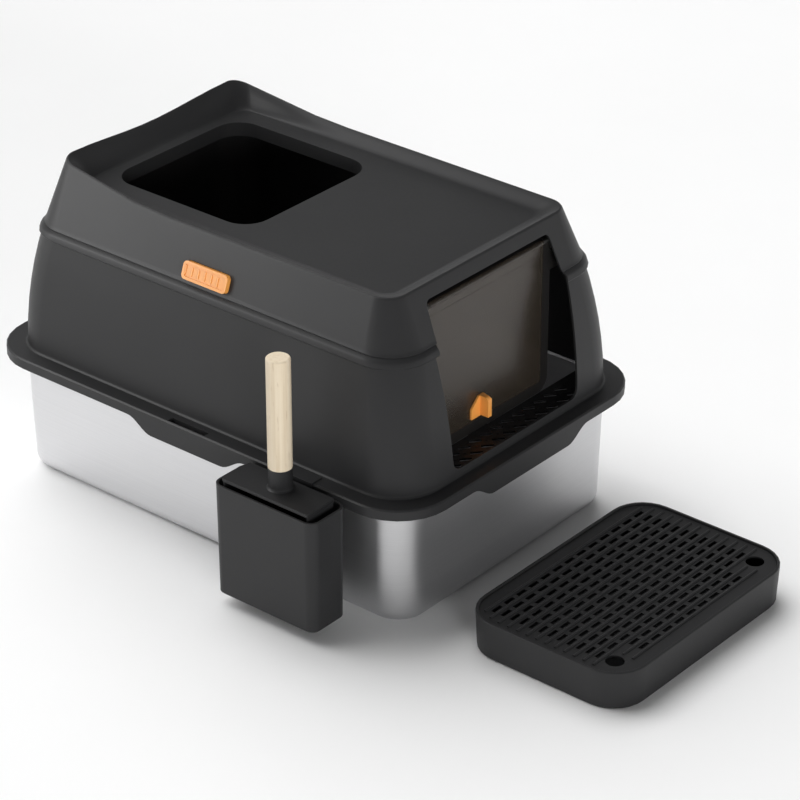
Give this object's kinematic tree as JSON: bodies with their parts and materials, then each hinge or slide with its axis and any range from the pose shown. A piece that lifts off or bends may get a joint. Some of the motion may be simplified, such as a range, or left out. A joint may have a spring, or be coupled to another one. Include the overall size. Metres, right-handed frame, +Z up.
{
  "type": "litter box enclosure",
  "caption": "Covered litter box with a steel pan, lift-off hood with roof opening and swing flap, a scoop in a hook-on holder, and a separate slotted step tray.",
  "frame": {"origin": "middle of the pan's underside, where the pan rests on the floor", "axes": "+X towards the front with the doorway and the step tray, -Y towards the side with the scoop holder, +Z up"},
  "size_m": [0.852, 0.467, 0.3769],
  "materials": {
    "pan_steel": "fine brushed sheet",
    "black_plastic": "fine matte moulding",
    "orange_plastic": "smooth satin moulding",
    "smoke_plastic": "tinted clear sheet",
    "beech": "bare turned wood",
    "bright_steel": "plain bright"
  },
  "bodies": {
    "pan": {"steel_pan": "pan_steel"},
    "surround": {"lower_surround": "black_plastic", "entry_grid": "black_plastic"},
    "hood": {"upper_hood": "black_plastic", "hinge_block_left": "black_plastic", "hinge_block_right": "black_plastic", "button_guide_near": "black_plastic", "button_guide_far": "black_plastic", "button_spring_near": "bright_steel", "button_spring_far": "bright_steel"},
    "flap": {"front_flap": "smoke_plastic", "hinge_pin_left": "bright_steel", "hinge_pin_right": "bright_steel"},
    "lock": {"flap_lock": "orange_plastic", "lock_back": "black_plastic", "lock_screw": "bright_steel"},
    "button_near": {"push_button_near": "orange_plastic"},
    "button_far": {"push_button_far": "orange_plastic"},
    "holder": {"scoop_holder": "black_plastic"},
    "scoop": {"scoop": "black_plastic", "scoop_handle": "beech", "handle_screw": "bright_steel"},
    "step": {"step_tray": "black_plastic"},
    "step_top": {"step_grid": "black_plastic"}
  },
  "joints": [
    {"name": "surround_lift", "type": "slide", "parent": "pan", "child": "surround", "axis": [0, 0, 1], "range_m": [0, 0.1]},
    {"name": "hood_lift", "type": "slide", "parent": "surround", "child": "hood", "axis": [0, 0, 1], "range_m": [0, 0.15]},
    {"name": "flap_swing", "type": "hinge", "parent": "hood", "child": "flap", "pos_m": [0.24027, 0, 0.3333], "axis": [0, 1, 0], "range_deg": [-12, 75]},
    {"name": "lock_slide", "type": "slide", "parent": "flap", "child": "lock", "axis": [0, 0, 1], "range_m": [-0.009, 0]},
    {"name": "button_near_press", "type": "slide", "parent": "hood", "child": "button_near", "axis": [0, 0.9401, -0.3408], "range_m": [0, 0.004], "stiffness_N_per_m": 600, "springref_m": -0.003, "deforming": ["button_spring_near"]},
    {"name": "button_far_press", "type": "slide", "parent": "hood", "child": "button_far", "axis": [0, -0.9401, -0.3408], "range_m": [0, 0.004], "stiffness_N_per_m": 600, "springref_m": -0.003, "deforming": ["button_spring_far"]},
    {"name": "holder_lift", "type": "slide", "parent": "surround", "child": "holder", "axis": [0, 0, 1], "range_m": [0, 0.12]},
    {"name": "scoop_lift", "type": "slide", "parent": "holder", "child": "scoop", "axis": [0, 0, 1], "range_m": [0, 0.16]},
    {"name": "step_slide", "type": "slide", "parent": "pan", "child": "step", "axis": [1, 0, 0], "range_m": [-0.056, 0.04]},
    {"name": "step_grid_lift", "type": "slide", "parent": "step", "child": "step_top", "axis": [0, 0, 1], "range_m": [0, 0.06]}
  ]
}
